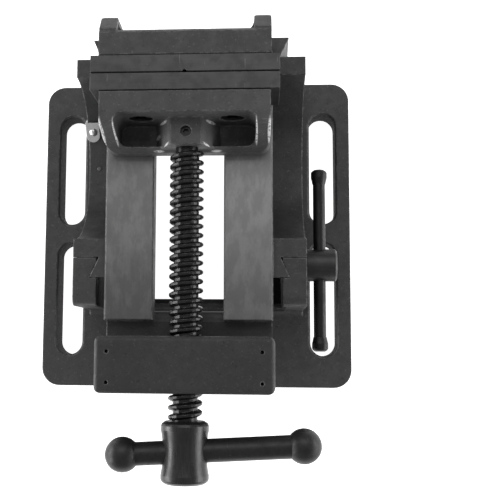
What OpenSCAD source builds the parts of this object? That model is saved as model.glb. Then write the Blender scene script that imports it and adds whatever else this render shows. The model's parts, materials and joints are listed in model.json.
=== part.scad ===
// Machine vise whose bed sits in a half-round cradle and tilts from level to upright.
// Millimetres, +Z up. The screw runs along Y with its handle towards -Y.
// Every module places its piece from the tilt axis, and the whole vise is moved by origin_y.

/* [Base casting] */
// Width of the base plate, side to side
base_w = 192; // [184:1:204]
// Length of the base plate, front to back
base_l = 190.5; // [188:0.5:196]
// Thickness of the base plate
base_t = 18; // [15:1:20]
// Radius of the plate's corners
base_r = 11; // [6:1:16]
// Distance from the tilt axis back to the plate's rear edge
base_rear = 58; // [56:0.5:60]
// Width of each bolt slot
slot_w = 16.2; // [13:0.2:18]
// End-to-end length of each bolt slot
slot_l = 70; // [50:1:74]
// Distance from the middle to the centre of the slots on either side
slot_x = 79.2; // [78:0.2:81]
// Distance between the front and rear slot centres on one side
slot_pitch = 82; // [78:1:86]
// Height of the wall that joins the cheeks across the front
front_wall_h = 42; // [30:1:54]

/* [Cradle] */
// Height of the tilt axis above the table
axis_z = 77.3; // [77.3:0.1:84]
// Inner radius of the cradle
ring_in = 47.2; // [44:0.2:50]
// Radius of the cradle's bearing face
ring_out = 57.8; // [56:0.2:58]
// Outer radius of the cradle's dovetail
dove_out = 69.2; // [66:0.2:69.6]
// Half width of the cradle across its flanges
ring_half = 66.2; // [64:0.2:66.4]
// Half width of the dovetail at its neck
dove_neck = 51.5; // [50:0.1:52]
// Half width of the dovetail at its outer face
dove_wide = 56.7; // [55:0.1:57.4]

/* [Bed and jaws] */
// Half of the gap between the rails
rail_in = 19.8; // [18:0.2:21]
// Half width across the rails
rail_out = 47.2; // [46.4:0.2:48]
// Height of the rails' ground top
rail_top = 82.3; // [82.3:0.1:86]
// Width of the jaw plates
jaw_w = 101; // [96:1:101]
// Height of the jaw tops above the table
jaw_top = 121; // [117:1:124]
// Thickness of each jaw plate
plate_t = 9.3; // [8:0.1:9.6]
// Width of the front block that carries the screw
block_w = 95.6; // [90:0.2:96]
// Height of the front block's top
block_top = 110; // [109:0.5:114]

/* [Screw and handle] */
// Outside diameter of the lead screw
screw_d = 18.6; // [17:0.2:18.8]
// Lead of the screw in one turn
screw_pitch = 5; // [4:0.5:6]
// Height of the screw's axis
screw_z = 97.6; // [97:0.1:98.4]
// Diameter of the handle bar
bar_d = 12.5; // [10:0.5:12.5]
// Diameter of the handle's balls
ball_d = 18.8; // [17:0.2:20]
// Angle the handle bar rests at, turned about the screw
bar_turn = 2; // [0:1:20]
// Angle between the handle bar and square to the screw
bar_skew = 3.2; // [0:0.2:4]

/* [Clamp] */
// Diameter of the clamp screw's hub
clamp_d = 18.6; // [16:0.2:19]
// Diameter of the clamp bar
clamp_bar_d = 7; // [5:0.2:7]
// Diameter of the clamp bar's knobs
clamp_knob_d = 9.2; // [8:0.2:10]

/* [Hidden] */
$fn = 64;
eps = 0.02;
gap = 0.3; // running gap between curved castings
fit = 0.05; // radial clearance of a running fit
join = 1; // how far pieces of one casting run into each other, and cuts run past a face
edge = 0.8; // chamfer on machined edges

// colours
c_cast = [0.30, 0.31, 0.32];
c_steel = [0.45, 0.45, 0.46];
c_black = [0.10, 0.10, 0.11];
c_bright = [0.78, 0.78, 0.78];
c_brass = [0.74, 0.58, 0.28];

// base
plate_y = base_rear - base_l / 2;
slot_chamfer = 1.0;
window_half = 52.8;
window_front = -78.4;
window_rear = 48;
window_neck_half = 29;
window_neck_rear = -64;
cheek_front = -85.3;
cheek_out = ring_half;
cheek_top_r = 5;
cheek_rear_y = 43;
cheek_rear_z = 37;
cheek_foot = base_rear - 3;
cheek_heel = 8; // how much of the seat is left above the axis line at the front
wall_t = 3;
foot_fillet = 4;

// cradle
arc_in_half = 30;
seat_r = ring_out + gap;
groove_r = dove_out + gap;
groove_sweep = 225;
stop_play = 1.4;
web_in = 36;
web_out = rail_out - 0.3;

// bed
rail_front = -93.4;
rail_rear = 60;
rail_lip_t = 12.3;
rail_edge = 0.6;
beam_in = 31;
beam_bottom = 58.3;
bridge_rear = -88;
bridge_top = 73.5;
bridge_round = 4;
block_rear = -102.6;
block_front = -132.8;
block_mid = (block_front + block_rear) / 2;
block_corner_r = 4;
block_edge = 2.6; // radius of the block's upper edges
name_hole_d = 1.9;
name_hole_x = 41;
name_hole_y = 8.15;
name_hole_mid = block_mid - 1.2;
name_hole_depth = 5;

// fixed jaw: the face where the two jaw plates meet, then the casting behind them
meet_y = 36.8;
meet_gap = 0.1;
fixed_face = meet_y + meet_gap + plate_t;
fixed_back = 60.6;
fixed_foot = 68;
fixed_knee = 88; // height above which the back wall leans forward
fixed_draft = 2.5;
fixed_half = 46.2;
rib_in = 36.8;
rib_back = 71;
rib_corner = 2.5;
rib_shoulder = 113;
rib_heel = 86;
rib_edge = 1.4;
rib_fillet = 7;
rib_foot = 84;
// radius that clears the ribs' outer corners as they swing about the tilt axis
rib_swing_r = norm([rib_back, rib_shoulder - 2 * rib_edge - axis_z]) + 1;
plate_h = 36;
plate_edge = 0.4;
plate_z = jaw_top - plate_h;
notch_w = 3.4;
notch_depth = 1.7;

// movable jaw
move_face = meet_y - meet_gap - plate_t;
move_half = 45.6;
move_lip = -0.7;
move_lip_top = 91;
move_top_front = 10.7;
move_foot = rail_top + 0.06;
pocket_floor = 87;
pocket_half = 37.8;
pocket_front = 1.6;
pocket_rear = 15.4;
pocket_corner = 4.5;
jaw_corner = 6;
boss_half = 9;
boss_foot_half = 18;
boss_top = 109;
boss_front = 0.4;
tongue_half = rail_in - 0.1;
keeper_top = rail_top - rail_lip_t - 0.1;
keeper_t = 8;
keeper_half = 28;
keeper_front = 4;
keeper_rear = 26;
keeper_mid = (keeper_front + keeper_rear) / 2;
keeper_screw_x = 12;
keeper_screw_d = 6;
keeper_screw_bite = 13;
keeper_head_d = 10;
keeper_head_h = 5;
keeper_head_sink = 1;

// jaw plate screws
jaw_screw_x = 25;
jaw_screw_z = jaw_top - 17.5;
jaw_screw_d = 8;
jaw_screw_head = 13;
jaw_screw_head_h = 5;
jaw_screw_bite = 7; // depth of its thread in the plate
jaw_screw_sink = 0.8; // how far the head lies inside its counterbore
jaw_screw_room = 0.3;
hex_across = 6;
hex_depth = 3;
keeper_hex = 5;

// lead screw
thread_depth = 2.5;
root_r = screw_d / 2 - thread_depth;
thread_rear = move_lip - 0.5;
thread_front = -147.1;
thread_foot_share = 0.36; // outline of the thread, as shares of the pitch and of its depth
thread_shoulder_share = 0.26;
thread_crest_share = 0.11;
thread_shoulder_drop = 0.32;
thread_steps = 22; // facets in one turn
journal_r = 6;
journal_rear = 12;
journal_groove_y = 7.6;
journal_groove_w = 5;
journal_groove_r = 4.4;
spigot_l = 6;
spigot_r = root_r - 0.1;
set_screw_d = 6;
set_screw_tip_d = 4.2;
set_screw_tip_l = 2;
set_screw_hex = 3;
set_screw_tip_z = screw_z + journal_groove_r + 0.1;
set_screw_top = boss_top - 2.4;
set_screw_hex_depth = 2;

// handle
hub_rear = -147.3;
hub_front = -180;
hub_mid = -163.4;
hub_end_r = 12.9;
hub_waist_r = 11.7;
ball_left = -33.2;
ball_right = 63.2;
ball_socket = 0.5; // distance from the ball's centre to its socket's floor
hub_edge = 1.2;
hub_waist_curve = 58;

// clamp
clamp_y = -60.8;
clamp_z = 59;
clamp_in = ring_half + 0.6;
clamp_out = 84;
clamp_bar_x = 74.3;
clamp_shank_r = 5;
clamp_shank_in = 59;
clamp_edge = 1;
clamp_knob_l = 8.2;
clamp_knob_socket = 4.5;
clamp_knob_edge = 1.8;
clamp_bar_front = -110.3;
clamp_bar_rear = -5.1;
pad_r = 4.95;

// pointer and stop pin, both on the cradle's left flange
pointer_angle = 31;
pointer_span = 20;
pointer_t = 1.2;
pointer_in = -59;
pointer_w = ring_half + pointer_t + pointer_in;
pointer_l = 12.6;
pointer_reach = 16;
pointer_lip = 9;
pointer_screw_x = -62.8;
pointer_screw_d = 3;
pointer_screw_l = 6;
pointer_head_d = 5;
pointer_head_h = 1.6;
pointer_head_r = 2.8;
pin_x = -60.2;
pin_angle = 2.7;
pin_d = 2.4;
pin_reach = 2.2;
pin_proud = 0.4;
stop_first = 1.0;
stop_last = 88.6;

// where the tilt axis lies, so that the whole vise is centred on the origin
origin_y = -(hub_front + rib_back) / 2;

// ---- shared shapes ----

// Rectangle with round corners, centred
module rounded_rect(w, l, r) {
    square([w - 2 * r, l], center = true);
    square([w, l - 2 * r], center = true);
    for (sx = [-1, 1], sy = [-1, 1])
        translate([sx * (w / 2 - r), sy * (l / 2 - r)]) circle(r);
}

// Straight piece along Y between two Y values
module along_y(y0, y1, r) {
    translate([0, y0, 0]) rotate([-90, 0, 0]) cylinder(h = y1 - y0, r = r);
}

// Straight piece along X between two X values
module along_x(x0, x1, r) {
    translate([x0, 0, 0]) rotate([0, 90, 0]) cylinder(h = x1 - x0, r = r);
}

// Side profile, drawn in Y and Z, given its thickness along X
module side_slab(x0, x1) {
    translate([x0, 0, 0]) rotate([90, 0, 90]) linear_extrude(height = x1 - x0) children();
}

// End profile, drawn in X and Z, given its length along Y
module end_slab(y0, y1) {
    translate([0, y1, 0]) rotate([90, 0, 0]) linear_extrude(height = y1 - y0) children();
}

// Ring about the tilt axis, from a profile drawn in radius and X; it starts at the front
module tilt_ring(start, sweep) {
    translate([0, 0, axis_z]) rotate([0, 90, 0]) rotate([0, 0, start - 90])
        rotate_extrude(angle = sweep) children();
}

// Both sides of the vise
module both_sides() {
    children();
    mirror([1, 0, 0]) children();
}

// Hexagon socket, opening towards +Z at the origin
module hex_socket(across, depth) {
    translate([0, 0, -depth]) cylinder(h = depth + 1, r = across / sqrt(3), $fn = 6);
}

// ---- base ----

module slot_prism(w, l, z0, z1) {
    translate([0, 0, z0]) linear_extrude(height = z1 - z0) {
        square([w, l - w], center = true);
        for (s = [-1, 1]) translate([0, s * (l - w) / 2]) circle(w / 2);
    }
}

// Bolt slot with a chamfered mouth
module bolt_slot() {
    r = slot_w / 2;
    run = (slot_l - slot_w) / 2;
    slot_prism(slot_w, slot_l, -1, base_t + 1);
    for (s = [-1, 1])
        translate([0, s * run, base_t - slot_chamfer])
            cylinder(h = slot_chamfer + eps, r1 = r, r2 = r + slot_chamfer + eps);
    end_slab(-run, run)
        polygon([[-r, base_t - slot_chamfer], [r, base_t - slot_chamfer],
            [r + slot_chamfer + eps, base_t + eps], [-r - slot_chamfer - eps, base_t + eps]]);
}

module cheek_profile() {
    difference() {
        union() {
            polygon([[cheek_front, join], [cheek_foot, join], [cheek_foot, base_t],
                [cheek_rear_y + 2, cheek_rear_z - 4], [cheek_rear_y, cheek_rear_z],
                [0, axis_z], [cheek_front + cheek_top_r, axis_z],
                [cheek_front, axis_z - cheek_top_r]]);
            translate([cheek_front + cheek_top_r, axis_z - cheek_top_r]) circle(cheek_top_r);
        }
        translate([0, axis_z]) circle(seat_r);
        translate([cheek_heel - seat_r, axis_z]) square([2 * seat_r, seat_r]);
    }
}

module base() color(c_cast) translate([0, origin_y, 0]) {
    difference() {
        union() {
            translate([0, plate_y, 0]) linear_extrude(height = base_t)
                rounded_rect(base_w, base_l, base_r);
            both_sides() side_slab(window_half, cheek_out) cheek_profile();
            side_slab(-cheek_out, cheek_out) {
                translate([cheek_front, join]) square([wall_t, front_wall_h - join]);
                // fillet between the wall's foot and the plate
                difference() {
                    translate([cheek_front - foot_fillet, base_t - join])
                        square([foot_fillet + join, foot_fillet + join]);
                    translate([cheek_front - foot_fillet, base_t + foot_fillet]) circle(foot_fillet);
                }
            }
        }
        both_sides()
            for (s = [-1, 1])
                translate([slot_x, plate_y + s * slot_pitch / 2, 0]) bolt_slot();
        // window through the plate, narrower in front of the cradle
        translate([-window_half, window_neck_rear, -join])
            cube([2 * window_half, window_rear - window_neck_rear, base_t + 2 * join]);
        translate([-window_neck_half, window_front, -join])
            cube([2 * window_neck_half, window_neck_rear - window_front + join, base_t + 2 * join]);
        // grooves that hold the cradle's dovetails
        both_sides()
            tilt_ring(0, groove_sweep)
                polygon([[seat_r - 2 * join, window_half - 3 * join],
                    [seat_r - 2 * join, dove_neck + gap], [seat_r, dove_neck + gap],
                    [groove_r, dove_wide + gap], [groove_r, window_half - 3 * join]]);
        // relief in the window's rear edge, where the fixed jaw's ribs swing past
        both_sides()
            tilt_ring(90, 90)
                polygon([[window_rear, rib_in - join], [rib_swing_r, rib_in - join],
                    [rib_swing_r, fixed_half + join], [window_rear, fixed_half + join]]);
        // bore of the clamp screw in the right cheek
        translate([0, clamp_y, clamp_z])
            along_x(window_half - 2 * join, cheek_out + join, clamp_shank_r + fit);
        // arc groove that the stop pin runs in
        tilt_ring(90 - stop_last, stop_last + stop_first + 2 * pin_angle)
            translate([seat_r - join, pin_x - pin_d / 2 - gap])
                square([pin_reach + stop_play, pin_d + 2 * gap]);
    }
}

// ---- tilting body ----

module cradle_half() {
    tilt_ring(0, 180)
        polygon([[ring_in, arc_in_half], [ring_in, ring_half], [ring_out, ring_half],
            [ring_out, dove_neck], [dove_out, dove_wide], [dove_out, arc_in_half]]);
}

module web() {
    r = ring_in + 3 * join;
    side_slab(web_in, web_out) intersection() {
        translate([0, axis_z]) circle(r);
        translate([-r - join, 0]) square([2 * (r + join), rail_top - join]);
    }
}

// One rail: ground strip with a lip inwards and a deeper beam outwards
module rail() {
    end_slab(rail_front, rail_rear)
        polygon([[rail_in, rail_top - rail_lip_t], [rail_in, rail_top - rail_edge],
            [rail_in + rail_edge, rail_top], [rail_out - rail_edge, rail_top],
            [rail_out, rail_top - rail_edge],
            [rail_out, rail_top - rail_lip_t], [beam_in, rail_top - rail_lip_t]]);
    translate([beam_in, block_rear - join, beam_bottom])
        cube([web_out - beam_in, -ring_in - block_rear, bridge_top - beam_bottom]);
}

// Outline with rounded upper corners, between two ends
module rounded_top(a, b, foot, top, r) {
    translate([a, foot]) square([b - a, top - r - foot]);
    translate([a + r, foot]) square([b - a - 2 * r, top - foot]);
    for (x = [a + r, b - r]) translate([x, top - r]) circle(r);
}

module front_block() {
    half = block_w / 2;
    intersection() {
        translate([0, block_mid, beam_bottom]) linear_extrude(height = block_top - beam_bottom)
            rounded_rect(block_w, block_rear - block_front, block_corner_r);
        end_slab(block_front - join, block_rear + join)
            rounded_top(-half, half, beam_bottom - join, block_top, block_edge);
        side_slab(-half - join, half + join)
            rounded_top(block_front, block_rear, beam_bottom - join, block_top, block_edge);
    }
}

module fixed_jaw() {
    side_slab(-fixed_half, fixed_half)
        polygon([[fixed_face, fixed_foot], [fixed_face, jaw_top - edge],
            [fixed_face + edge, jaw_top], [fixed_back - 2 * edge, jaw_top],
            [fixed_back, jaw_top - 2 * edge], [fixed_back + fixed_draft, fixed_knee],
            [fixed_back + fixed_draft, fixed_foot + 6], [ring_out - 2 * join, fixed_foot - 2]]);
    rib_start = fixed_back - 4 * join;
    both_sides() intersection() {
        side_slab(rib_in, fixed_half)
            polygon([[rib_start, fixed_foot + 2], [rib_start, jaw_top - join],
                [fixed_back + join, jaw_top - join], [rib_back - rib_edge, rib_shoulder],
                [rib_back, rib_shoulder - 2 * rib_edge], [rib_back, rib_heel],
                [ring_out, fixed_foot + 4]]);
        // round rear corners; the front ones lie inside the back wall
        translate([(rib_in + fixed_half) / 2, (rib_start + rib_back) / 2, 0])
            linear_extrude(height = jaw_top)
                rounded_rect(fixed_half - rib_in, rib_back - rib_start, rib_corner);
    }
    // fillets between the ribs and the back wall
    both_sides() translate([rib_in, fixed_back, rib_foot])
        linear_extrude(height = rib_shoulder - rib_foot)
            difference() {
                translate([-rib_fillet, -join]) square(rib_fillet + join);
                translate([-rib_fillet, rib_fillet]) circle(rib_fillet);
            }
}

module vise_body() color(c_cast) translate([0, origin_y, 0]) {
    difference() {
        union() {
            both_sides() {
                cradle_half();
                web();
                rail();
            }
            front_block();
            fixed_jaw();
            // cross pieces that tie the two halves together under the rails' ends
            side_slab(-web_out, web_out)
                rounded_top(block_rear - bridge_round, bridge_rear, beam_bottom, bridge_top, bridge_round);
            translate([-web_out, fixed_face - join, rail_top - rail_lip_t])
                cube([2 * web_out, rail_rear - fixed_face + join, rail_lip_t - join]);
        }
        // bore of the lead screw
        translate([0, 0, screw_z]) along_y(block_front - join, block_rear + join, screw_d / 2 + fit);
        // holes of a nameplate that isn't fitted
        for (sx = [-1, 1], sy = [-1, 1])
            translate([sx * name_hole_x, name_hole_mid + sy * name_hole_y, block_top - name_hole_depth])
                cylinder(h = name_hole_depth + join, d = name_hole_d);
        // counterbored holes of the jaw plate's screws
        translate([0, fixed_back, 0]) mirror([0, 1, 0]) jaw_screw_holes(fixed_back - fixed_face);
        // seat of the pointer's screw, and hole of the stop pin
        pointer_screw_shank(0);
        stop_pin();
    }
}

// ---- jaw plates and their screws ----

// Plate from its back face at y = 0 to its clamping face at y = -plate_t
module jaw_plate() {
    half = jaw_w / 2;
    difference() {
        side_slab(-half, half)
            polygon([[0, plate_z], [0, jaw_top], [-plate_t + plate_edge, jaw_top],
                [-plate_t, jaw_top - plate_edge], [-plate_t, plate_z]]);
        for (s = [-1, 1]) translate([s * jaw_screw_x, 0, jaw_screw_z])
            along_y(-jaw_screw_bite - jaw_screw_room, join, jaw_screw_d / 2);
    }
}

// Both screws' holes, from the wall's outer face at y = 0 through a wall that lies towards +Y
module jaw_screw_holes(wall) {
    for (s = [-1, 1]) translate([s * jaw_screw_x, 0, jaw_screw_z]) {
        along_y(-fixed_draft, wall + join, jaw_screw_d / 2 + jaw_screw_room);
        along_y(-fixed_draft, jaw_screw_sink + jaw_screw_head_h, jaw_screw_head / 2 + jaw_screw_room);
    }
}

// Both socket screws of one plate, in the same frame as their holes
module jaw_screws(wall) {
    for (s = [-1, 1]) translate([s * jaw_screw_x, jaw_screw_sink, jaw_screw_z]) difference() {
        union() {
            along_y(0, jaw_screw_head_h, jaw_screw_head / 2);
            along_y(jaw_screw_head_h, wall + jaw_screw_bite - jaw_screw_sink, jaw_screw_d / 2);
        }
        rotate([90, 0, 0]) hex_socket(hex_across, hex_depth);
    }
}

module fixed_jaw_plate() color(c_steel) translate([0, origin_y, 0])
    difference() {
        translate([0, fixed_face, 0]) jaw_plate();
        // upright vee that grips round work
        translate([0, fixed_face - plate_t, plate_z - join]) linear_extrude(height = plate_h + 2 * join)
            polygon([[-notch_w / 2, -eps], [notch_w / 2, -eps], [0, notch_depth]]);
    }

module movable_jaw_plate() color(c_steel) translate([0, origin_y + move_face, 0])
    mirror([0, 1, 0]) jaw_plate();

module fixed_plate_screws() color(c_black) translate([0, origin_y + fixed_back, 0])
    mirror([0, 1, 0]) jaw_screws(fixed_back - fixed_face);

module movable_plate_screws() color(c_black) translate([0, origin_y + pocket_rear, 0])
    jaw_screws(move_face - pocket_rear);

// ---- movable jaw ----

module movable_jaw() color(c_cast) translate([0, origin_y, 0])
    difference() {
        union() {
            difference() {
                intersection() {
                    side_slab(-move_half, move_half)
                        polygon([[move_face, move_foot], [move_face, jaw_top - edge],
                            [move_face - edge, jaw_top], [move_top_front, jaw_top],
                            [move_top_front - 2 * edge, jaw_top - 2 * edge],
                            [move_lip + 2 * edge, move_lip_top + 4], [move_lip, move_lip_top],
                            [move_lip, move_foot]]);
                    // round front corners; the rear ones lie behind the clamping face
                    translate([0, move_lip + move_face, move_foot - join])
                        linear_extrude(height = jaw_top)
                            rounded_rect(2 * move_half, 2 * move_face, jaw_corner);
                }
                translate([0, (pocket_front + pocket_rear) / 2, pocket_floor])
                    linear_extrude(height = jaw_top)
                        rounded_rect(2 * pocket_half, pocket_rear - pocket_front, pocket_corner);
            }
            end_slab(boss_front, pocket_rear + join)
                polygon([[-boss_foot_half, pocket_floor - 2 * join], [-boss_foot_half, pocket_floor],
                    [-boss_half, boss_top - edge], [-boss_half + edge, boss_top],
                    [boss_half - edge, boss_top], [boss_half, boss_top - edge],
                    [boss_foot_half, pocket_floor], [boss_foot_half, pocket_floor - 2 * join]]);
            translate([-tongue_half, keeper_front, keeper_top])
                cube([2 * tongue_half, keeper_rear - keeper_front, move_foot - keeper_top + join]);
        }
        // blind bore of the screw's journal, and the hole of the screw that holds it
        translate([0, 0, screw_z]) along_y(move_lip - join, journal_rear + 0.5, journal_r + fit);
        translate([0, journal_groove_y, screw_z]) cylinder(h = jaw_top - screw_z, d = set_screw_d);
        translate([0, pocket_rear, 0]) jaw_screw_holes(move_face - pocket_rear);
        for (s = [-1, 1])
            translate([s * keeper_screw_x, keeper_mid, keeper_top - join])
                cylinder(h = keeper_screw_bite + join, d = keeper_screw_d);
    }

module keeper_plate() color(c_steel) translate([0, origin_y, 0])
    difference() {
        translate([-keeper_half, keeper_front, keeper_top - keeper_t])
            cube([2 * keeper_half, keeper_rear - keeper_front, keeper_t]);
        for (s = [-1, 1])
            translate([s * keeper_screw_x, keeper_mid, keeper_top - keeper_t - join]) {
                cylinder(h = keeper_t + 2 * join, d = keeper_screw_d + 2 * jaw_screw_room);
                cylinder(h = keeper_head_h + keeper_head_sink + join, d = keeper_head_d + 1);
            }
    }

module keeper_screws() color(c_black) translate([0, origin_y, 0])
    for (s = [-1, 1])
        translate([s * keeper_screw_x, keeper_mid, keeper_top - keeper_t + keeper_head_sink])
            difference() {
                union() {
                    cylinder(h = keeper_head_h, d = keeper_head_d);
                    cylinder(h = keeper_t - keeper_head_sink + keeper_screw_bite - join, d = keeper_screw_d);
                }
                mirror([0, 0, 1]) hex_socket(keeper_hex, hex_depth);
            }

module jaw_set_screw() color(c_black) translate([0, origin_y + journal_groove_y, 0])
    difference() {
        union() {
            translate([0, 0, set_screw_tip_z])
                cylinder(h = set_screw_tip_l + join, d = set_screw_tip_d);
            translate([0, 0, set_screw_tip_z + set_screw_tip_l])
                cylinder(h = set_screw_top - set_screw_tip_z - set_screw_tip_l, d = set_screw_d);
        }
        translate([0, 0, set_screw_top]) hex_socket(set_screw_hex, set_screw_hex_depth);
    }

// ---- lead screw and handle ----

// Round-crested thread as one closed surface that winds up the screw. Each step of the helix has
// the outline's points, as [axial, radius], from one foot to the other. The last foot meets the
// next turn's first.
thread_foot = screw_pitch * thread_foot_share;
thread_shoulder = screw_pitch * thread_shoulder_share;
thread_crest = screw_pitch * thread_crest_share;
shoulder_r = screw_d / 2 - thread_depth * thread_shoulder_drop;
thread_outline = [[-thread_foot, root_r], [-thread_shoulder, shoulder_r],
    [-thread_crest, screw_d / 2], [thread_crest, screw_d / 2],
    [thread_shoulder, shoulder_r], [thread_foot, root_r]];
thread_length = thread_rear - thread_front - 2 * thread_foot;
helix_steps = floor(thread_length / screw_pitch * thread_steps);

function thread_point(i, p) = [p[1] * cos(i * 360 / thread_steps), p[1] * sin(i * 360 / thread_steps),
    p[0] + i * screw_pitch / thread_steps];

// The two triangles between step i and the next along one edge of the outline
function thread_strip(a, b, n) = [[a, b, b + n], [a, b + n, a + n]];

module thread() {
    last = helix_steps;
    n = len(thread_outline);
    turn = n * thread_steps;
    points = [for (i = [0:last], p = thread_outline) thread_point(i, p)];
    first_centre = len(points);
    last_centre = first_centre + 1;
    ends = [[0, 0, 0], [0, 0, last * screw_pitch / thread_steps]];
    flanks = [for (i = [0:last - 1], k = [0:n - 2], f = thread_strip(n * i + k, n * i + k + 1, n)) f];
    roots = [for (i = [0:last - 1 - thread_steps], f = thread_strip(n * i + n - 1, n * i + turn, n)) f];
    first_rim = concat([for (i = [0:thread_steps]) n * i], [for (k = [n - 1:-1:0]) k]);
    last_rim = concat([for (i = [last - thread_steps:last]) n * i + n - 1],
        [for (k = [n - 2:-1:0]) n * last + k], [n * (last - thread_steps) + n - 1]);
    first_end = [for (k = [0:len(first_rim) - 2]) [first_centre, first_rim[k], first_rim[k + 1]]];
    last_end = [for (k = [0:len(last_rim) - 2]) [last_centre, last_rim[k + 1], last_rim[k]]];
    polyhedron(points = concat(points, ends), faces = concat(flanks, roots, first_end, last_end));
}

module lead_screw() color(c_black) translate([0, origin_y, screw_z]) {
    difference() {
        union() {
            along_y(thread_rear - screw_pitch - join, journal_rear, journal_r);
            along_y(thread_front - spigot_l, thread_front + screw_pitch + join, spigot_r);
            translate([0, thread_rear - thread_foot, 0]) rotate([90, 0, 0]) thread();
        }
        translate([0, journal_groove_y - journal_groove_w / 2, 0]) rotate([-90, 0, 0])
            difference() {
                cylinder(h = journal_groove_w, r = journal_r + join);
                cylinder(h = journal_groove_w, r = journal_groove_r);
            }
    }
}

module turned_handle() {
    translate([0, origin_y + hub_mid, screw_z]) rotate([0, bar_turn, 0]) children();
}

// Frame of the bar, which crosses the hub a little off square
module along_bar() {
    turned_handle() rotate([0, 0, bar_skew]) children();
}

module handle_hub() color(c_black) turned_handle()
    difference() {
        rotate([90, 0, 0]) rotate_extrude() hub_outline();
        along_y(hub_rear - hub_mid - spigot_l - 0.5, hub_rear - hub_mid + join, root_r);
        rotate([0, 0, bar_skew]) along_x(-hub_end_r - join, hub_end_r + join, bar_d / 2 + fit);
    }

// Half outline of the waisted hub, in radius and distance from the bar towards the front
module hub_outline() {
    rear = hub_rear - hub_mid;
    front = hub_mid - hub_front;
    difference() {
        polygon([[0, -rear], [hub_end_r - 2 * hub_edge, -rear],
            [hub_end_r - hub_edge / 2, hub_edge - rear], [hub_end_r, 2 * hub_edge - rear],
            [hub_end_r, front - 2 * hub_edge], [hub_end_r - hub_edge / 2, front - hub_edge],
            [hub_end_r - 2 * hub_edge, front], [0, front]]);
        translate([hub_waist_r + hub_waist_curve, (front - rear) / 2]) circle(hub_waist_curve);
    }
}

module handle_bar() color(c_black) along_bar()
    along_x(ball_left + ball_socket, ball_right - ball_socket, bar_d / 2);

// Ball at the given place along the bar, with a blind socket facing the hub
module handle_ball(x) {
    translate([x, 0, 0]) rotate([0, x > 0 ? -90 : 90, 0])
        difference() {
            sphere(d = ball_d);
            translate([0, 0, ball_socket]) cylinder(h = ball_d, d = bar_d);
        }
}

module handle_ball_left() color(c_black) along_bar() handle_ball(ball_left);

module handle_ball_right() color(c_black) along_bar() handle_ball(ball_right);

// ---- clamp ----

module clamp_frame() {
    translate([0, origin_y + clamp_y, clamp_z]) children();
}

module clamp_screw() color(c_steel) clamp_frame()
    difference() {
        union() {
            along_x(clamp_shank_in, clamp_in + join, clamp_shank_r);
            along_x(clamp_in, clamp_out - clamp_edge, clamp_d / 2);
            translate([clamp_out - clamp_edge, 0, 0]) rotate([0, 90, 0])
                cylinder(h = clamp_edge, r1 = clamp_d / 2, r2 = clamp_d / 2 - clamp_edge);
        }
        translate([clamp_bar_x, 0, 0]) along_y(-clamp_d, clamp_d, clamp_bar_d / 2 + fit);
    }

module clamp_bar() color(c_black) clamp_frame()
    translate([clamp_bar_x, 0, 0])
        along_y(clamp_bar_front - clamp_y + clamp_knob_socket,
            clamp_bar_rear - clamp_y - clamp_knob_socket, clamp_bar_d / 2);

// Knob with its outer end at y, turned over the end of the clamp bar
module clamp_knob(y, s) {
    r = clamp_knob_d / 2;
    translate([clamp_bar_x, y, 0]) rotate([s * 90, 0, 0])
        difference() {
            rotate_extrude()
                polygon([[0, 0], [r - clamp_knob_edge, 0], [r - clamp_knob_edge / 4, clamp_knob_edge / 2],
                    [r, clamp_knob_edge], [r, clamp_knob_l - 2 * clamp_knob_edge],
                    [r - clamp_knob_edge / 4, clamp_knob_l - clamp_knob_edge],
                    [clamp_bar_d / 2 + gap, clamp_knob_l], [0, clamp_knob_l]]);
            translate([0, 0, clamp_knob_socket]) cylinder(h = clamp_knob_l, d = clamp_bar_d);
        }
}

module clamp_knob_rear() color(c_black) clamp_frame() clamp_knob(clamp_bar_rear - clamp_y, 1);

module clamp_knob_front() color(c_black) clamp_frame() clamp_knob(clamp_bar_front - clamp_y, -1);

// Brass pad between the clamp screw and the dovetail's slope
module clamp_pad() color(c_brass) translate([0, origin_y, 0])
    difference() {
        translate([0, clamp_y, clamp_z]) along_x(dove_neck, clamp_shank_in - 0.1, pad_r);
        // the same slope as the groove's side, carried on past the pad's edge
        tilt_ring(0, 180)
            polygon([[seat_r - pad_r, web_in], [seat_r - pad_r, dove_neck + gap], [seat_r, dove_neck + gap],
                [groove_r + pad_r, dove_wide + gap + pad_r * (dove_wide - dove_neck) / (dove_out - ring_out)],
                [groove_r + pad_r, web_in]]);
    }

// ---- pointer and stop pin ----

// Bent strip: a tab with a round front end on the cradle's flange, and a lip down its side
module scale_pointer() color(c_bright) translate([0, origin_y, 0])
    difference() {
        intersection() {
            union() {
                pointer_strip(pointer_in + ring_half, pointer_t);
                pointer_strip(0, pointer_lip + pointer_t);
            }
            on_pointer() translate([-ring_half - pointer_t, pointer_w / 2 - pointer_l / 2, -pointer_reach])
                linear_extrude(height = 2 * pointer_reach) {
                    square([pointer_w, pointer_l - pointer_w / 2]);
                    translate([pointer_w / 2, 0]) circle(pointer_w / 2);
                }
        }
        pointer_screw_shank(jaw_screw_room);
    }

// Arc of the pointer's strip, reaching inwards from its outer face and down from its top
module pointer_strip(inwards, down) {
    tilt_ring(90 + pointer_angle - pointer_span / 2, pointer_span)
        translate([ring_in - pointer_t, -ring_half - pointer_t])
            square([down, inwards + pointer_t]);
}

// Frame of the pointer: its origin is on the flange's inner face, with +Z towards the tilt axis
module on_pointer() {
    translate([0, 0, axis_z]) rotate([pointer_angle, 0, 0]) translate([0, 0, -ring_in]) children();
}

// Shank of the pointer's screw, along a radius of the cradle
module pointer_screw_shank(extra) {
    on_pointer() translate([pointer_screw_x, 0, -pointer_screw_l])
        cylinder(h = pointer_screw_l + pointer_t + join, d = pointer_screw_d + 2 * extra);
}

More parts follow.
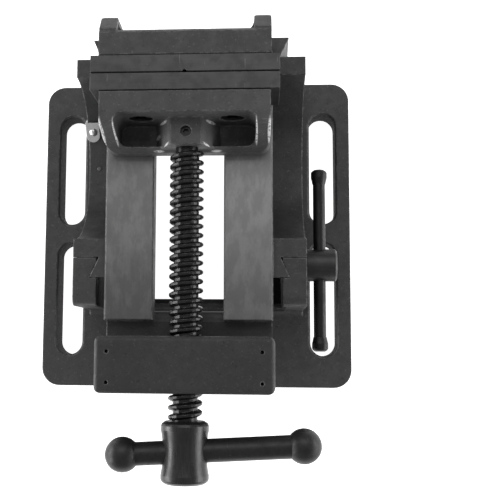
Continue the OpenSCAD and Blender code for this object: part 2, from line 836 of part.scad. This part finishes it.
module pointer_screw() color(c_bright) translate([0, origin_y, 0])
    on_pointer() translate([pointer_screw_x, 0, 0]) {
        translate([0, 0, -pointer_screw_l])
            cylinder(h = pointer_screw_l + pointer_t + eps + join / 2, d = pointer_screw_d);
        translate([0, 0, pointer_t + fit]) intersection() {
            cylinder(h = pointer_head_d, d = pointer_head_d);
            translate([0, 0, pointer_head_h - pointer_head_r]) sphere(pointer_head_r);
        }
    }

// Pin through the left flange, along a radius of the cradle
module stop_pin() {
    translate([pin_x, 0, axis_z]) rotate([pin_angle, 0, 0])
        translate([0, 0, -ring_out - pin_reach])
            cylinder(h = ring_out - ring_in + pin_reach + pin_proud, d = pin_d);
}

module tilt_stop_pin() color(c_bright) translate([0, origin_y, 0]) stop_pin();

base();
vise_body();
fixed_jaw_plate();
movable_jaw_plate();
fixed_plate_screws();
movable_plate_screws();
movable_jaw();
keeper_plate();
keeper_screws();
lead_screw();
handle_hub();
handle_bar();
handle_ball_left();
handle_ball_right();
jaw_set_screw();
clamp_screw();
clamp_bar();
clamp_knob_rear();
clamp_knob_front();
clamp_pad();
scale_pointer();
pointer_screw();
tilt_stop_pin();
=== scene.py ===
import json

import bpy
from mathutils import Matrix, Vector


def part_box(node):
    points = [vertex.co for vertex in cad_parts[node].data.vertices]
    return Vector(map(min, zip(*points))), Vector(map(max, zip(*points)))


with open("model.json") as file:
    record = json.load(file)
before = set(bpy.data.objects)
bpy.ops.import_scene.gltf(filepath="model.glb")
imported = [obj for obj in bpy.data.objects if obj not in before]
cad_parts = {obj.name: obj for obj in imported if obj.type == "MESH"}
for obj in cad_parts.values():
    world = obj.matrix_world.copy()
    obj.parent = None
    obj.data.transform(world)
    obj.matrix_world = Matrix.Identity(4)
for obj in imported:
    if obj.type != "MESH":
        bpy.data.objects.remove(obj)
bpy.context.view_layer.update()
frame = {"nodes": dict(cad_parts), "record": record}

MM = 0.001
NODES = frame["nodes"]
OPENINGS = {o["name"]: [Vector(corner) for corner in o["box_m"]]
            for o in frame["record"]["physics"]["openings"]}


# ---- shader helpers ----

class Shader:
    """One material, with short calls for the nodes that every finish here needs."""

    def __init__(self, name):
        self.material = bpy.data.materials.new(name)
        self.material.use_nodes = True
        self.tree = self.material.node_tree
        self.tree.nodes.clear()
        self.out = self.tree.nodes.new("ShaderNodeOutputMaterial")
        self.bsdf = self.tree.nodes.new("ShaderNodeBsdfPrincipled")
        self.link(self.bsdf.outputs["BSDF"], self.out.inputs["Surface"])
        self.coords = self.tree.nodes.new("ShaderNodeTexCoord").outputs["Object"]
        self.geometry = self.tree.nodes.new("ShaderNodeNewGeometry")

    def link(self, a, b):
        self.tree.links.new(a, b)

    def feed(self, value, socket):
        if hasattr(value, "is_output"):
            self.link(value, socket)
        else:
            socket.default_value = value

    def stretched(self, scale, turn=(0, 0, 0)):
        node = self.tree.nodes.new("ShaderNodeMapping")
        node.inputs["Scale"].default_value = scale
        node.inputs["Rotation"].default_value = turn
        self.link(self.coords, node.inputs["Vector"])
        return node.outputs["Vector"]

    def noise(self, size_mm, detail=4.0, rough=0.55, vector=None, distortion=0.0):
        node = self.tree.nodes.new("ShaderNodeTexNoise")
        node.inputs["Scale"].default_value = 1.0 / (size_mm * MM)
        node.inputs["Detail"].default_value = detail
        node.inputs["Roughness"].default_value = rough
        node.inputs["Distortion"].default_value = distortion
        self.link(vector or self.coords, node.inputs["Vector"])
        return node.outputs["Fac"]

    def voronoi(self, size_mm, vector=None, feature="F1"):
        node = self.tree.nodes.new("ShaderNodeTexVoronoi")
        node.feature = feature
        node.inputs["Scale"].default_value = 1.0 / (size_mm * MM)
        self.link(vector or self.coords, node.inputs["Vector"])
        return node.outputs["Distance"]

    def math(self, operation, a, b=0.0, clamp=False):
        node = self.tree.nodes.new("ShaderNodeMath")
        node.operation = operation
        node.use_clamp = clamp
        self.feed(a, node.inputs[0])
        self.feed(b, node.inputs[1])
        return node.outputs[0]

    def ramp(self, value, low, high, to_low=0.0, to_high=1.0):
        node = self.tree.nodes.new("ShaderNodeMapRange")
        node.interpolation_type = "SMOOTHSTEP"
        self.feed(value, node.inputs["Value"])
        for key, number in (("From Min", low), ("From Max", high),
                            ("To Min", to_low), ("To Max", to_high)):
            self.feed(number, node.inputs[key])
        return node.outputs["Result"]

    def mix_value(self, factor, a, b):
        node = self.tree.nodes.new("ShaderNodeMix")
        node.data_type = "FLOAT"
        self.feed(factor, node.inputs[0])
        self.feed(a, node.inputs[2])
        self.feed(b, node.inputs[3])
        return node.outputs[0]

    def mix_colour(self, factor, a, b):
        node = self.tree.nodes.new("ShaderNodeMix")
        node.data_type = "RGBA"
        self.feed(factor, node.inputs[0])
        self.feed(a, node.inputs[6])
        self.feed(b, node.inputs[7])
        return node.outputs[2]

    def scaled(self, colour, factor):
        node = self.tree.nodes.new("ShaderNodeVectorMath")
        node.operation = "SCALE"
        self.feed(colour, node.inputs[0])
        self.feed(factor, node.inputs["Scale"])
        return node.outputs[0]

    def place(self):
        """Position in the object's own frame, as separate X, Y and Z."""
        node = self.tree.nodes.new("ShaderNodeSeparateXYZ")
        self.link(self.coords, node.inputs[0])
        return node.outputs

    def facing(self):
        """The surface's direction in the object's own frame, as separate X, Y and Z."""
        turn = self.tree.nodes.new("ShaderNodeVectorTransform")
        turn.vector_type = "NORMAL"
        turn.convert_from = "WORLD"
        turn.convert_to = "OBJECT"
        self.link(self.geometry.outputs["True Normal"], turn.inputs[0])
        node = self.tree.nodes.new("ShaderNodeSeparateXYZ")
        self.link(turn.outputs[0], node.inputs[0])
        return node.outputs

    def bevel(self, radius_mm):
        node = self.tree.nodes.new("ShaderNodeBevel")
        node.samples = 6
        node.inputs["Radius"].default_value = radius_mm * MM
        return node.outputs["Normal"]

    def edges(self, radius_mm, low=0.0, high=1.0):
        """1 near an edge: where the rounded direction leaves the flat one."""
        dot = self.tree.nodes.new("ShaderNodeVectorMath")
        dot.operation = "DOT_PRODUCT"
        self.link(self.bevel(radius_mm), dot.inputs[0])
        self.link(self.geometry.outputs["Normal"], dot.inputs[1])
        return self.ramp(self.math("SUBTRACT", 1.0, dot.outputs["Value"]), low, high)

    def bump(self, height, distance_mm, strength=1.0, normal=None):
        node = self.tree.nodes.new("ShaderNodeBump")
        node.inputs["Strength"].default_value = strength
        node.inputs["Distance"].default_value = distance_mm * MM
        self.link(height, node.inputs["Height"])
        if normal is not None:
            self.link(normal, node.inputs["Normal"])
        return node.outputs["Normal"]

    def finish(self, colour, roughness, metallic, normal, specular=0.5):
        self.feed(colour, self.bsdf.inputs["Base Color"])
        self.feed(roughness, self.bsdf.inputs["Roughness"])
        self.feed(metallic, self.bsdf.inputs["Metallic"])
        self.bsdf.inputs["Specular IOR Level"].default_value = specular
        self.link(normal, self.bsdf.inputs["Normal"])
        return self.material


CAST_SPECULAR = 0.22
EDGE_WEAR = 0.45  # how much metal shows on a casting's worn edges
# colour of the dark joints and of the painted shade on the base's slot walls and hollows
JOINT_DIRT_AND_SHADE_TONE = 0.006
RAIL_CLEARANCE_MM = 0.9  # distance of the bed's openings above the rails


def grey(value):
    return (value, value, value, 1.0)


def box_mask(s, low, high, soft_mm=0.3):
    """1 inside a box given by two corners in millimetres, in the CAD frame; None leaves a side
    open."""
    mask = 1.0
    soft = soft_mm * MM
    for axis, (a, b) in enumerate(zip(low, high)):
        if a is not None:
            mask = s.math("MULTIPLY", mask, s.ramp(s.place()[axis], a * MM - soft, a * MM + soft))
        if b is not None:
            below = s.ramp(s.place()[axis], b * MM - soft, b * MM + soft, 1.0, 0.0)
            mask = s.math("MULTIPLY", mask, below)
    return mask


# ---- finishes ----

WORN_TONE = 0.26
# colour of the painted highlights on the movable jaw
PAINTED_HIGHLIGHT_TONE = 0.75
GROUND_TONE = 0.235


def spot(s, place_mm, reach_mm, turn=0.0):
    """1 inside a soft ellipsoid given by its centre and half sizes in millimetres, in the CAD
    frame, turned about Z."""
    node = s.tree.nodes.new("ShaderNodeMapping")
    node.vector_type = "TEXTURE"
    node.inputs["Location"].default_value = [v * MM for v in place_mm]
    node.inputs["Rotation"].default_value = (0.0, 0.0, turn)
    node.inputs["Scale"].default_value = [v * MM for v in reach_mm]
    s.link(s.coords, node.inputs["Vector"])
    length = s.tree.nodes.new("ShaderNodeVectorMath")
    length.operation = "LENGTH"
    s.link(node.outputs["Vector"], length.inputs[0])
    return s.ramp(length.outputs["Value"], 0.55, 1.0, 1.0, 0.0)


def any_of(s, masks):
    total = masks[0]
    for mask in masks[1:]:
        total = s.math("MAXIMUM", total, mask)
    return total


def cast_iron(name, tone, relief=1.0, ground=None, painted_highlights=None, joint_dirt_and_painted_shade=None, shade=None):
    """Grey enamelled casting: sand texture, mottling, pits, metal showing on worn edges.
    ground(s) gives a mask of the faces that are machined bright, bare(s) one of painted
    highlights, grime(s) one of dark joints and of painted shade, and shade(s) the painted light
    and shade multiplied into the paint from place to place."""
    s = Shader(name)
    broad = s.noise(34.0, 3.0, 0.6)
    mottle = s.noise(6.5, 5.0, 0.62)
    sand = s.noise(1.1, 5.0, 0.7)
    grains = s.voronoi(1.7)
    lumps = s.noise(9.0, 2.0, 0.5)
    pits = s.ramp(s.voronoi(5.2), 0.06, 0.16)
    wear_noise = s.noise(3.2, 6.0, 0.7)
    edge = s.edges(1.1, 0.006, 0.06)
    worn = s.math("MULTIPLY", edge, s.ramp(wear_noise, 0.43, 0.58), clamp=True)
    scuffs = s.noise(2.0, 6.0, 0.75, s.stretched((1.0, 0.16, 1.0), (0.2, 0.1, 0.5)))
    scuff = s.ramp(scuffs, 0.665, 0.72)
    colour = s.mix_colour(s.ramp(broad, 0.3, 0.7), grey(tone * 0.90), grey(tone * 1.10))
    colour = s.mix_colour(s.ramp(mottle, 0.38, 0.62, 0.0, 0.55), colour, grey(tone * 0.72))
    colour = s.mix_colour(s.ramp(pits, 0.0, 1.0, 0.45, 0.0), colour, grey(tone * 0.45))
    colour = s.mix_colour(s.math("MULTIPLY", scuff, 0.22), colour, grey(tone * 1.9))
    speck = s.ramp(s.noise(1.7, 4.0, 0.75), 0.58, 0.70)
    dark_speck = s.ramp(s.noise(2.1, 4.0, 0.75, distortion=0.4), 0.58, 0.70)
    colour = s.mix_colour(s.math("MULTIPLY", speck, 0.60), colour, grey(tone * 2.2))
    colour = s.mix_colour(s.math("MULTIPLY", dark_speck, 0.60), colour, grey(tone * 0.35))
    # painted light and shade multiplied into the paint from place to place
    if shade is not None:
        colour = s.scaled(colour, shade(s))
    worn = s.math("MULTIPLY", worn, EDGE_WEAR)
    colour = s.mix_colour(worn, colour, grey(WORN_TONE))
    # painted highlights: bright spots where light catches the jaw's shoulders and corners; they
    # also take the worn metal's roughness and metallic
    if painted_highlights is not None:
        broken = s.ramp(s.noise(1.3, 5.0, 0.7), 0.34, 0.54)
        painted_highlight = s.math("MULTIPLY", painted_highlights(s), broken)
        colour = s.mix_colour(painted_highlight, colour, grey(PAINTED_HIGHLIGHT_TONE))
        worn = s.math("MAXIMUM", worn, painted_highlight)
    rough = s.ramp(mottle, 0.3, 0.7, 0.42, 0.56)
    rough = s.mix_value(worn, rough, 0.32)
    metallic = s.math("MULTIPLY", worn, 0.3)
    height = s.math("ADD", s.math("MULTIPLY", sand, 0.55), s.math("MULTIPLY", grains, -0.18))
    height = s.math("ADD", height, s.math("MULTIPLY", lumps, 0.9))
    height = s.math("ADD", height, s.math("MULTIPLY", pits, 0.10))
    if ground is not None:
        mask = ground(s)
        lines = s.noise(0.55, 4.0, 0.6, s.stretched((1.0, 0.018, 1.0)))
        cross = s.noise(0.8, 3.0, 0.6, s.stretched((0.03, 1.0, 1.0), (0.0, 0.0, 0.12)))
        scratches = s.noise(1.0, 5.0, 0.7, s.stretched((1.0, 0.05, 1.0), (0, 0, 0.35)))
        scratch = s.ramp(scratches, 0.66, 0.70)
        stain = s.noise(16.0, 4.0, 0.6)
        cloud = s.noise(6.0, 5.0, 0.65, s.stretched((1.0, 0.45, 1.0)))
        metal = GROUND_TONE
        bright = s.mix_colour(s.ramp(lines, 0.25, 0.75), grey(metal * 0.96), grey(metal * 1.05))
        bright = s.mix_colour(s.ramp(cloud, 0.40, 0.60, 0.0, 0.6), bright, grey(metal * 0.68))
        bright = s.mix_colour(s.ramp(stain, 0.42, 0.66, 0.0, 0.3), bright, grey(metal * 0.66))
        bright = s.mix_colour(s.math("MULTIPLY", scratch, 0.25), bright, grey(metal * 0.6))
        # the ways' ground tops are made darker towards the handle, and the left rail darker than
        # the right
        low, high = OPENINGS["rail_gap"]
        darker_to_front = s.ramp(s.place()[1], low.y, low.y + 0.6 * (high.y - low.y), 0.72, 1.0)
        darker_to_left = s.ramp(s.place()[0], low.x, high.x, 0.80, 1.0)
        bright = s.mix_colour(s.math("MULTIPLY", darker_to_front, darker_to_left), grey(0.0), bright)
        colour = s.mix_colour(mask, colour, bright)
        rough = s.mix_value(mask, rough, s.ramp(lines, 0.2, 0.8, 0.36, 0.50))
        metallic = s.mix_value(mask, metallic, 0.92)
        fine = s.math("ADD", s.math("MULTIPLY", lines, 0.05), s.math("MULTIPLY", cross, 0.02))
        height = s.mix_value(mask, height, fine)
    # dark joints, and painted shade on the base's slot walls and in the hollows beside the cradle
    if joint_dirt_and_painted_shade is not None:
        dark = s.math("MULTIPLY", joint_dirt_and_painted_shade(s), s.ramp(s.noise(2.2, 4.0, 0.6), 0.30, 0.60, 0.75, 1.0))
        colour = s.mix_colour(dark, colour, grey(JOINT_DIRT_AND_SHADE_TONE))
        rough = s.mix_value(dark, rough, 0.8)
    normal = s.bump(height, 0.24 * relief, 0.8, s.bevel(1.3))
    return s.finish(colour, rough, metallic, normal, CAST_SPECULAR)


def steel(name, tone, rough=(0.28, 0.42), grain=(1.0, 1.0, 0.03), grain_mm=0.5, bevel_mm=0.5,
          wear=0.35, worn_tone=0.5, stain=0.35, scratches=0.3, metallic=1.0, relief=0.02,
          specular=0.5):
    """Machined or blackened steel: tool marks along one direction, stains, scratches and bright
    edges."""
    s = Shader(name)
    lines = s.noise(grain_mm, 4.0, 0.62, s.stretched(grain))
    blotch = s.noise(8.0, 5.0, 0.62)
    fine = s.noise(0.9, 5.0, 0.7)
    lengthwise = s.noise(0.9, 5.0, 0.7, s.stretched((1.0, 0.06, 0.5), (0.3, 0.2, 0.6)))
    scratch = s.ramp(lengthwise, 0.655, 0.70)
    nick = s.ramp(s.noise(2.4, 6.0, 0.75, distortion=0.6), 0.66, 0.72)
    edge = s.edges(bevel_mm * 1.2, 0.01, 0.12)
    worn = s.math("MULTIPLY", edge, s.ramp(s.noise(2.6, 5.0, 0.7), 0.40, 0.62), clamp=True)
    colour = s.mix_colour(s.ramp(lines, 0.25, 0.75), grey(tone * 0.86), grey(tone * 1.12))
    colour = s.mix_colour(s.ramp(blotch, 0.42, 0.68, 0.0, stain), colour, grey(tone * 0.55))
    colour = s.mix_colour(s.math("MULTIPLY", s.math("ADD", scratch, nick, clamp=True), scratches),
                          colour, grey(min(0.8, tone * 2.4 + 0.06)))
    colour = s.mix_colour(s.math("MULTIPLY", worn, wear), colour, grey(worn_tone))
    roughness = s.ramp(lines, 0.2, 0.8, rough[0], rough[1])
    roughness = s.math("ADD", roughness, s.ramp(blotch, 0.35, 0.7, -0.03, 0.07), clamp=True)
    height = s.math("ADD", lines, s.math("MULTIPLY", fine, 0.35))
    height = s.math("SUBTRACT", height, s.math("MULTIPLY", nick, 0.8))
    normal = s.bump(height, relief, 0.8, s.bevel(bevel_mm))
    return s.finish(colour, roughness, metallic, normal, specular)


def paint(node, material):
    slots = NODES[node].material_slots
    for slot in slots:
        slot.material = material
    if not slots:
        NODES[node].data.materials.append(material)


def bed_ground(s):
    """The rails' ground tops, from the front block back to the fixed jaw."""
    rail_top = OPENINGS["bed_left"][0].z / MM - RAIL_CLEARANCE_MM
    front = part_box("base")[0].y / MM - 3.0
    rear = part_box("fixed_jaw_plate")[1].y / MM
    up = s.ramp(s.facing()[2], 0.94, 0.98)
    tops = box_mask(s, (None, front, rail_top - 1.0), (None, rear, rail_top + 1.0))
    return s.math("MULTIPLY", up, tops)


def base_painted_shade(s):
    """Painted shade on the slots' walls and in the hollows beside the cradle, where shade falls."""
    front, rear = OPENINGS["slot_right_front"], OPENINGS["slot_right_rear"]
    top = rear[1].z / MM - 5.0
    inner, outer = rear[0].x / MM - 1.5, rear[1].x / MM + 1.5
    first, last = front[0].y / MM - 8.0, rear[1].y / MM + 8.0
    steep = s.ramp(s.facing()[2], 0.3, 0.7, 1.0, 0.0)
    slots = s.math("MAXIMUM", box_mask(s, (inner, first, None), (outer, last, top)),
                   box_mask(s, (-outer, first, None), (-inner, last, top)))
    body_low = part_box("vise_body")[0]
    half = OPENINGS["cradle_right"][1].x / MM - 15.0
    hollow = box_mask(s, (-half, None, top), (half, None, body_low.z / MM + 62.0))
    return s.math("MULTIPLY", steep, s.math("MAXIMUM", slots, hollow))


def jaw_painted_highlights(s):
    """Painted highlights on the movable jaw: bright spots beside its boss, on the lip, the pockets'
    ends and the corners. Their distances from the jaw's box and pockets were read from the photo."""
    low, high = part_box("movable_jaw")
    low, high = low / MM, high / MM
    pocket_low, pocket_high = OPENINGS["jaw_pocket_right"]
    boss_foot = pocket_low.x / MM
    pocket_end = pocket_high.x / MM + 2.9
    pocket_rear = pocket_high.y / MM + 1.0
    pocket_mid = (pocket_low.y + pocket_high.y) / 2 / MM
    spots = []
    for side in (-1, 1):
        spots += [
            spot(s, (side * (boss_foot - 5.5), pocket_rear, high.z - 23.0), (3.4, 1.2, 14.0),
                 side * 0.12),
            spot(s, (side * (boss_foot - 7.3), low.y + 1.6, high.z - 17.0), (3.2, 0.9, 8.0),
                 side * -0.42),
            spot(s, (side * (boss_foot - 2.5), low.y + 0.8, high.z - 30.0), (4.4, 0.9, 3.0)),
            spot(s, (side * pocket_end, pocket_mid, high.z - 14.0), (0.9, 8.5, 20.0)),
            spot(s, (side * (high.x - 0.3), pocket_mid - 0.5, high.z - 14.0),
                 (1.6, 8.0, 24.0)),
        ]
    spots.append(spot(s, (-(boss_foot - 1.5), pocket_mid, high.z - 28.0), (2.2, 2.0, 9.0)))
    # the marks lie on faces that look up, and leave the upright walls alone
    return s.math("MULTIPLY", any_of(s, spots), s.ramp(s.facing()[2], 0.08, 0.30))


# painted shade: how much darker the paint is made on the front block, the sill and inside the
# cradle
BLOCK_SHADE, SILL_SHADE, INSIDE_SHADE = 0.66, 0.55, 0.60
SILL_TOP_MM, INSIDE_TOP_MM = 74.5, 76.5


def bed_painted_shade(s):
    """Painted shade: the paint is darker on the front block, on the sill behind it and inside the
    cradle, where shade falls.
    """
    gap_front = OPENINGS["rail_gap"][0].y / MM
    block_rear = gap_front - 14.0
    cradle_rear = OPENINGS["cradle_right"][1].y / MM + 30.0
    block = box_mask(s, (None, None, None), (None, block_rear, None))
    inside = s.ramp(s.facing()[2], 0.80, 0.97, 1.0, 0.0)
    hollow = box_mask(s, (None, block_rear + 12.0, None), (None, cradle_rear, INSIDE_TOP_MM))
    inside = s.math("MULTIPLY", inside, hollow)
    sill = box_mask(s, (None, block_rear, None), (None, gap_front - 6.5, SILL_TOP_MM))
    shade = s.mix_value(sill, s.mix_value(block, 1.0, BLOCK_SHADE), SILL_SHADE)
    return s.mix_value(inside, shade, INSIDE_SHADE)


def jaw_painted_light(s):
    """Painted light: the paint is lighter on the boss's flanks and on the floor in front of them.
    """
    low, high = OPENINGS["jaw_pocket_right"]
    near = low.x / MM
    flank = box_mask(s, (-near - 3.5, low.y / MM - 2.0, None),
                     (near + 3.5, high.y / MM + 0.8, 108.0), 2.0)
    lip = box_mask(s, (None, low.y / MM - 0.8, None), (None, low.y / MM + 4.5, 89.0), 1.0)
    return s.mix_value(s.math("MAXIMUM", flank, lip), 1.0, 1.5)


def jaw_grime(s):
    """Dark joint between the movable jaw and its plate."""
    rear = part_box("movable_jaw")[1].y / MM
    return box_mask(s, (None, rear - 0.7, None), (None, None, None), 0.2)


paint("base", cast_iron("base_cast", 0.049, relief=0.8, joint_dirt_and_painted_shade=base_painted_shade))
paint("vise_body", cast_iron("bed_cast", 0.051, ground=bed_ground, shade=bed_painted_shade))
paint("movable_jaw", cast_iron("jaw_cast", 0.060, painted_highlights=jaw_painted_highlights, joint_dirt_and_painted_shade=jaw_grime, shade=jaw_painted_light))
plate = steel("jaw_plate", 0.062, (0.36, 0.5), (0.03, 1.0, 1.0), 0.9, 0.4, 0.45, 0.25,
              stain=0.25, scratches=0.4)
paint("fixed_jaw_plate", plate)
paint("movable_jaw_plate", plate)
paint("keeper_plate", steel("keeper", 0.34, (0.35, 0.5)))
black = steel("black_fastener", 0.035, (0.30, 0.42), (1, 1, 1), 0.6, 0.2, 0.25, 0.3)
for fastener in ("fixed_plate_screws", "movable_plate_screws", "keeper_screws", "jaw_set_screw"):
    paint(fastener, black)
paint("lead_screw", steel("screw_black", 0.030, (0.16, 0.30), (1, 1, 1), 0.5, 0.45, 0.30, 0.34,
                          stain=0.3, scratches=0.12, metallic=0.85, relief=0.01))
handle = steel("handle_black", 0.026, (0.34, 0.50), (1.0, 0.3, 1.0), 0.9, 0.4, 0.35, 0.3,
               stain=0.6, scratches=0.9, metallic=0.6, relief=0.05, specular=0.3)
hub = steel("hub_black", 0.040, (0.24, 0.38), (1.0, 0.04, 1.0), 0.5, 0.5, 0.35, 0.35,
            scratches=0.25, metallic=0.85, relief=0.02)
paint("handle_hub", hub)
for piece in ("handle_bar", "handle_ball_left", "handle_ball_right"):
    paint(piece, handle)
clamp = steel("clamp_steel", 0.048, (0.36, 0.50), (0.05, 1.0, 1.0), 0.5, 0.4, 0.4, 0.5,
              scratches=0.25)
paint("clamp_screw", clamp)
clamp_bar = steel("clamp_black", 0.028, (0.34, 0.48), (1.0, 0.05, 1.0), 0.5, 0.3, 0.4, 0.4,
                  scratches=0.3)
for piece in ("clamp_bar", "clamp_knob_rear", "clamp_knob_front"):
    paint(piece, clamp_bar)
paint("clamp_pad", steel("pad_brass", 0.45, (0.3, 0.45)))
bright = steel("pointer_bright", 0.62, (0.28, 0.4), (1.0, 0.05, 1.0), 0.4, 0.25, 0.1, 0.85,
               stain=0.15, scratches=0.1)
for piece in ("scale_pointer", "pointer_screw"):
    paint(piece, bright)
paint("tilt_stop_pin", steel("pin_dull", 0.12, (0.4, 0.55), bevel_mm=0.2))


# ---- floor, light and camera ----

FLOOR_HALF_M = 15.0
FLOOR_Z_M = -0.0005
WORLD_STRENGTH = 0.46


def floor():
    mesh = bpy.data.meshes.new("floor")
    corners = [(x * FLOOR_HALF_M, y * FLOOR_HALF_M, FLOOR_Z_M)
               for x, y in ((-1, -1), (1, -1), (1, 1), (-1, 1))]
    mesh.from_pydata(corners, [], [(0, 1, 2, 3)])
    obj = bpy.data.objects.new("floor", mesh)
    bpy.context.scene.collection.objects.link(obj)
    s = Shader("floor_white")
    speck = s.noise(3.0, 3.0, 0.5)
    colour = s.mix_colour(speck, grey(0.86), grey(0.90))
    s.bsdf.inputs["Emission Color"].default_value = grey(1.0)
    s.bsdf.inputs["Emission Strength"].default_value = 1.0
    s.finish(colour, 0.8, 0.0, s.bump(speck, 0.02, 0.2))
    mesh.materials.append(s.material)


def softbox(name, place, aim, size, power):
    light = bpy.data.lights.new(name, "AREA")
    light.shape = "RECTANGLE"
    light.size, light.size_y = size
    light.energy = power
    obj = bpy.data.objects.new(name, light)
    bpy.context.scene.collection.objects.link(obj)
    obj.location = place
    obj.rotation_mode = "QUATERNION"
    obj.rotation_quaternion = (Vector(aim) - Vector(place)).to_track_quat("-Z", "Y")


floor()
for name, side, power in (("left_box", -1, 22), ("right_box", 1, 15)):
    softbox(name, (side * 1.2, -0.1, 0.28), (0, 0, 0.1), (1.6, 0.55), power)
softbox("top_box", (0.0, 0.9, 1.5), (0, 0, 0.05), (1.6, 0.9), 9)

world = bpy.data.worlds.new("studio")
bpy.context.scene.world = world
world.use_nodes = True
world.node_tree.nodes["Background"].inputs[0].default_value = grey(1.0)
world.node_tree.nodes["Background"].inputs[1].default_value = WORLD_STRENGTH

# fitted to the vise's outlines in the photo
CAMERA_PLACE = (0.03808, -0.05396, 0.60309)
CAMERA_TILT = (0.1135, 0.0725, 0.0075)
CAMERA_LENS_MM = 67.5432
CAMERA_SHIFT = (0.1238, -0.018)  # shares of the frame's width
camera = bpy.data.cameras.new("camera")
camera.sensor_width = 36.0
camera.lens = CAMERA_LENS_MM
camera.shift_x, camera.shift_y = CAMERA_SHIFT
camera.clip_start = 0.05
camera.clip_end = 20.0
camera_object = bpy.data.objects.new("camera", camera)
bpy.context.scene.collection.objects.link(camera_object)
camera_object.location = CAMERA_PLACE
camera_object.rotation_euler = CAMERA_TILT
bpy.context.scene.camera = camera_object
bpy.context.scene.view_settings.view_transform = "Standard"
